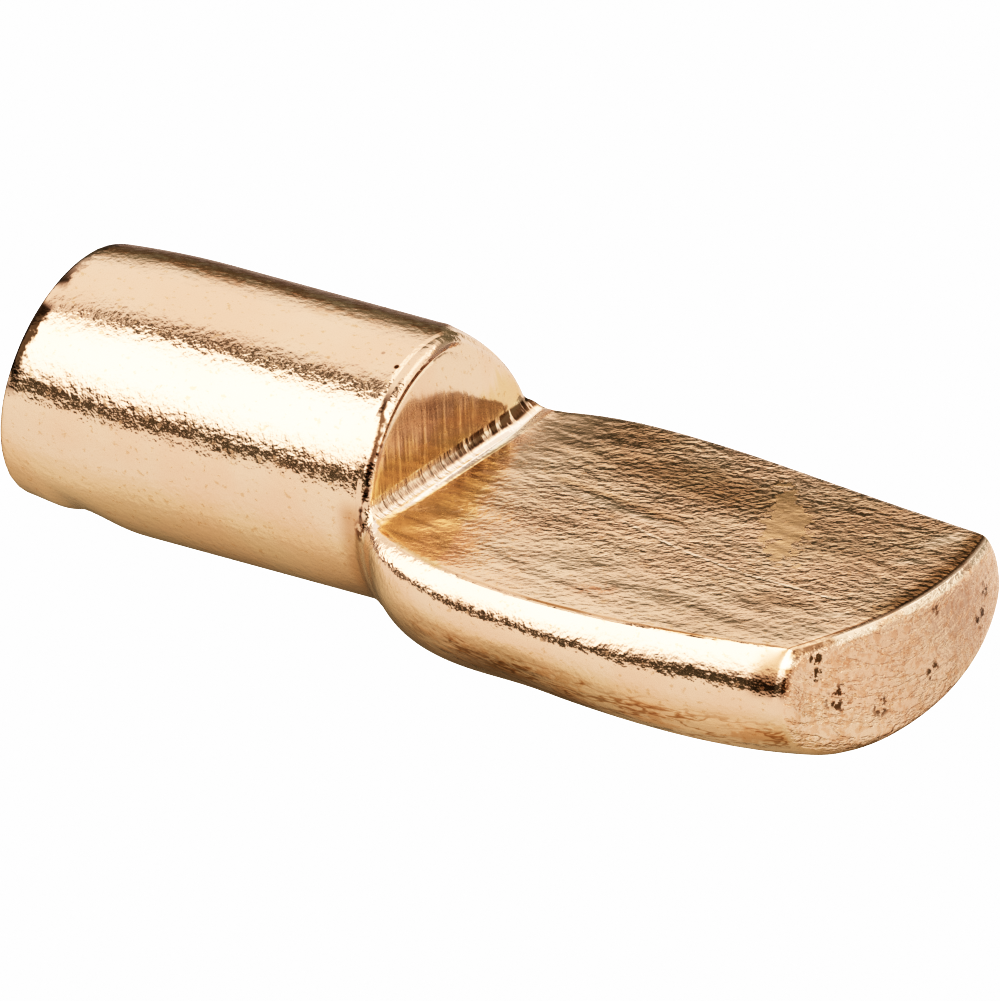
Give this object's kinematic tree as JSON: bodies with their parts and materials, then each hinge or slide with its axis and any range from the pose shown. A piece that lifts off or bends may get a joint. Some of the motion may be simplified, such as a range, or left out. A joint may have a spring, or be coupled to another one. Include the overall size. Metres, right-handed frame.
{
  "type": "shelf support pin",
  "caption": "Spoon-type shelf pin: a round plated peg for a drilled cabinet side, pressed at one end into a half-round blade whose flat top carries the shelf.",
  "frame": {"origin": "on the pin's axis, where the plain pin ends and the knuckle behind the shoulder stops it at the mouth of its hole", "axes": "+X along the pin's axis towards the blade, +Z square to the shelf face and up out of it, +Y across the blade"},
  "size_m": [0.0186, 0.0074, 0.0054],
  "materials": {
    "plated_metal": "bright pale brass plating over cold-formed metal, lightly wrinkled and scuffed"
  },
  "bodies": {
    "root": {"shelf_pin": "plated_metal"}
  },
  "joints": []
}
